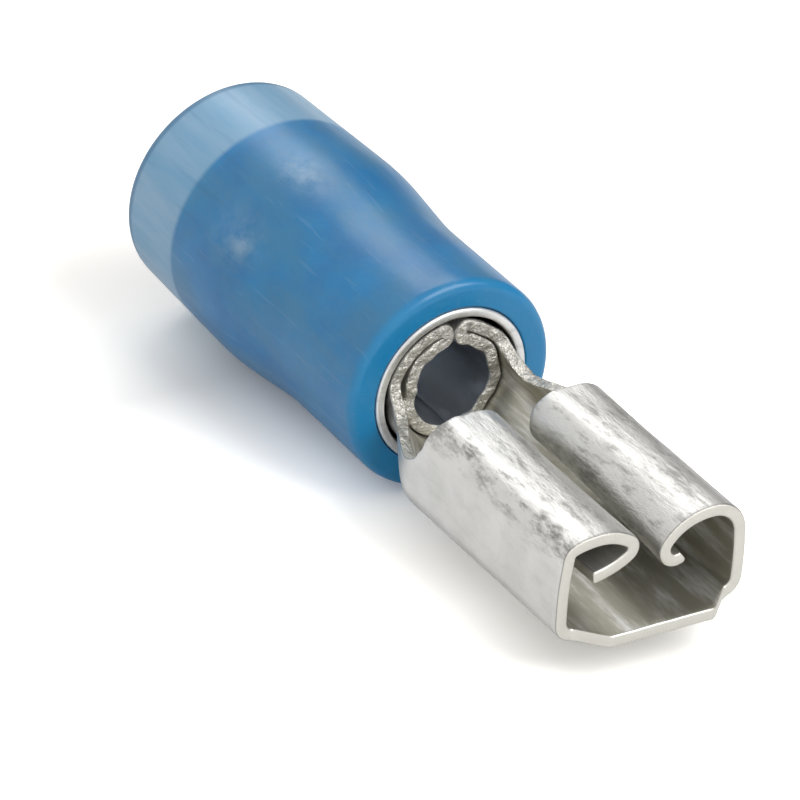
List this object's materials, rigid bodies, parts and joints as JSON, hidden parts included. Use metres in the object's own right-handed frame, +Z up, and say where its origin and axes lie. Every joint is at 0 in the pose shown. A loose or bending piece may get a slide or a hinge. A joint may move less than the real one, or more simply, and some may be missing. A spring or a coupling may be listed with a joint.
{
  "type": "female spade terminal",
  "caption": "Insulated push-on spade receptacle with rolled edges, an open neck and a crimp barrel in a blue nylon sleeve.",
  "frame": {"origin": "middle of the wire barrel's rear opening, on the barrel's axis, where the wire that holds the terminal goes in", "axes": "+X along the wire barrel towards the tab mouth, +Z up towards the receptacle's curls, +Y across the receptacle's width"},
  "size_m": [0.0222, 0.0066, 0.0066],
  "materials": {
    "blue_nylon": "satin",
    "sleeve_tin": "tin-plated",
    "terminal_tin": "tin-plated"
  },
  "bodies": {
    "root": {"insulator": "blue_nylon", "grip_sleeve": "sleeve_tin", "terminal_body": "terminal_tin"}
  },
  "joints": []
}
